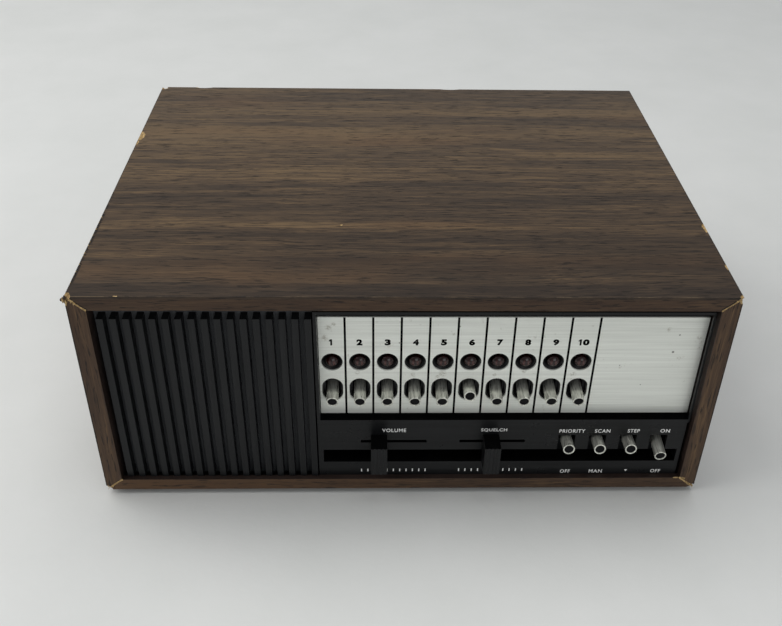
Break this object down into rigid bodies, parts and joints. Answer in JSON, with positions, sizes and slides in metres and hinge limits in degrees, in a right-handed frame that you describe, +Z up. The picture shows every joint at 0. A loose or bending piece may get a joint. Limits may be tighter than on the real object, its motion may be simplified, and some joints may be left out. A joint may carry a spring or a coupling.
{
  "type": "police scanner",
  "caption": "Table-top crystal-controlled radio scanner in a walnut-grain cabinet, with a slatted grille, channel lamps and levers, and slide controls.",
  "frame": {"origin": "middle of the whole model's footprint, on the surface that it stands on", "axes": "+X to the right seen from the front, +Y from the front to the back, +Z up"},
  "size_m": [0.29, 0.2362, 0.1175],
  "materials": {
    "walnut_vinyl": "printed walnut-grain vinyl, satin",
    "bezel_plastic": "semi-gloss black",
    "grille_plastic": "semi-gloss black, faint streaks",
    "brushed_aluminium": "brushed along its length",
    "red_lens": "clear dark red",
    "bulb_glass": "clear",
    "lever_plastic": "moulded black",
    "lever_chrome": "bright plating, slightly worn",
    "switch_plastic": "moulded",
    "knob_plastic": "semi-gloss black",
    "plated_steel": "zinc plated",
    "cone_paper": "pressed paper",
    "magnet_iron": "dull",
    "rear_paint": "fine texture",
    "board_phenolic": "resin board",
    "crystal_can": "drawn can",
    "transformer_iron": "varnished laminations",
    "capacitor_sleeve": "shrink sleeve",
    "jack_metal": "nickel plated",
    "jack_plastic": "moulded black",
    "foot_rubber": "moulded"
  },
  "bodies": {
    "cabinet": {"cabinet_top": "walnut_vinyl", "cabinet_bottom": "walnut_vinyl", "cabinet_left": "walnut_vinyl", "cabinet_right": "walnut_vinyl", "front_bezel": "bezel_plastic", "speaker_grille": "grille_plastic", "channel_plate": "brushed_aluminium", "lamp_lenses": "red_lens", "lamp_bulbs": "bulb_glass", "channel_switches": "switch_plastic", "function_switches": "switch_plastic", "volume_pot": "plated_steel", "squelch_pot": "plated_steel", "speaker_frame": "plated_steel", "speaker_cone": "cone_paper", "speaker_magnet": "magnet_iron", "chassis": "plated_steel", "rear_panel": "rear_paint", "main_board": "board_phenolic", "crystal_sockets": "switch_plastic", "crystals": "crystal_can", "transformer": "transformer_iron", "filter_capacitors": "capacitor_sleeve", "antenna_jack": "jack_metal", "speaker_jack": "jack_plastic", "power_inlet": "jack_plastic", "feet": "foot_rubber", "screws": "plated_steel"},
    "channel_1": {"channel_lever_1": "lever_plastic", "channel_sleeve_1": "lever_chrome"},
    "channel_2": {"channel_lever_2": "lever_plastic", "channel_sleeve_2": "lever_chrome"},
    "channel_3": {"channel_lever_3": "lever_plastic", "channel_sleeve_3": "lever_chrome"},
    "channel_4": {"channel_lever_4": "lever_plastic", "channel_sleeve_4": "lever_chrome"},
    "channel_5": {"channel_lever_5": "lever_plastic", "channel_sleeve_5": "lever_chrome"},
    "channel_6": {"channel_lever_6": "lever_plastic", "channel_sleeve_6": "lever_chrome"},
    "channel_7": {"channel_lever_7": "lever_plastic", "channel_sleeve_7": "lever_chrome"},
    "channel_8": {"channel_lever_8": "lever_plastic", "channel_sleeve_8": "lever_chrome"},
    "channel_9": {"channel_lever_9": "lever_plastic", "channel_sleeve_9": "lever_chrome"},
    "channel_10": {"channel_lever_10": "lever_plastic", "channel_sleeve_10": "lever_chrome"},
    "priority": {"priority_lever": "lever_plastic", "priority_sleeve": "lever_chrome"},
    "scan": {"scan_lever": "lever_plastic", "scan_sleeve": "lever_chrome"},
    "step": {"step_lever": "lever_plastic", "step_sleeve": "lever_chrome"},
    "power": {"power_lever": "lever_plastic", "power_sleeve": "lever_chrome"},
    "volume": {"volume_knob": "knob_plastic", "volume_wiper": "plated_steel"},
    "squelch": {"squelch_knob": "knob_plastic", "squelch_wiper": "plated_steel"}
  },
  "joints": [
    {"name": "channel_1_switch", "type": "hinge", "parent": "cabinet", "child": "channel_1", "pos_m": [-0.0335, -0.09355, 0.0597], "axis": [1, 0, 0], "range_deg": [-12, 0]},
    {"name": "channel_2_switch", "type": "hinge", "parent": "cabinet", "child": "channel_2", "pos_m": [-0.0208, -0.09355, 0.0597], "axis": [1, 0, 0], "range_deg": [-12, 0]},
    {"name": "channel_3_switch", "type": "hinge", "parent": "cabinet", "child": "channel_3", "pos_m": [-0.0081, -0.09355, 0.0597], "axis": [1, 0, 0], "range_deg": [-12, 0]},
    {"name": "channel_4_switch", "type": "hinge", "parent": "cabinet", "child": "channel_4", "pos_m": [0.0046, -0.09355, 0.0597], "axis": [1, 0, 0], "range_deg": [-12, 0]},
    {"name": "channel_5_switch", "type": "hinge", "parent": "cabinet", "child": "channel_5", "pos_m": [0.0173, -0.09355, 0.0597], "axis": [1, 0, 0], "range_deg": [-12, 0]},
    {"name": "channel_6_switch", "type": "hinge", "parent": "cabinet", "child": "channel_6", "pos_m": [0.03, -0.09355, 0.0597], "axis": [1, 0, 0], "range_deg": [0, 12]},
    {"name": "channel_7_switch", "type": "hinge", "parent": "cabinet", "child": "channel_7", "pos_m": [0.0427, -0.09355, 0.0597], "axis": [1, 0, 0], "range_deg": [-12, 0]},
    {"name": "channel_8_switch", "type": "hinge", "parent": "cabinet", "child": "channel_8", "pos_m": [0.0554, -0.09355, 0.0597], "axis": [1, 0, 0], "range_deg": [-12, 0]},
    {"name": "channel_9_switch", "type": "hinge", "parent": "cabinet", "child": "channel_9", "pos_m": [0.0681, -0.09355, 0.0597], "axis": [1, 0, 0], "range_deg": [-12, 0]},
    {"name": "channel_10_switch", "type": "hinge", "parent": "cabinet", "child": "channel_10", "pos_m": [0.0808, -0.09355, 0.0597], "axis": [1, 0, 0], "range_deg": [-12, 0]},
    {"name": "priority_switch", "type": "hinge", "parent": "cabinet", "child": "priority", "pos_m": [0.07845, -0.09355, 0.0304], "axis": [1, 0, 0], "range_deg": [0, 12]},
    {"name": "scan_switch", "type": "hinge", "parent": "cabinet", "child": "scan", "pos_m": [0.0933, -0.09355, 0.0304], "axis": [1, 0, 0], "range_deg": [0, 12]},
    {"name": "step_switch", "type": "hinge", "parent": "cabinet", "child": "step", "pos_m": [0.10815, -0.09355, 0.0304], "axis": [1, 0, 0], "range_deg": [0, 12], "stiffness_Nm_per_rad": 0.05},
    {"name": "power_switch", "type": "hinge", "parent": "cabinet", "child": "power", "pos_m": [0.123, -0.09355, 0.0304], "axis": [1, 0, 0], "range_deg": [-12, 0]},
    {"name": "volume_slide", "type": "slide", "parent": "cabinet", "child": "volume", "axis": [1, 0, 0], "range_m": [-0.00795, 0.02205]},
    {"name": "squelch_slide", "type": "slide", "parent": "cabinet", "child": "squelch", "axis": [1, 0, 0], "range_m": [-0.01415, 0.01585]}
  ]
}
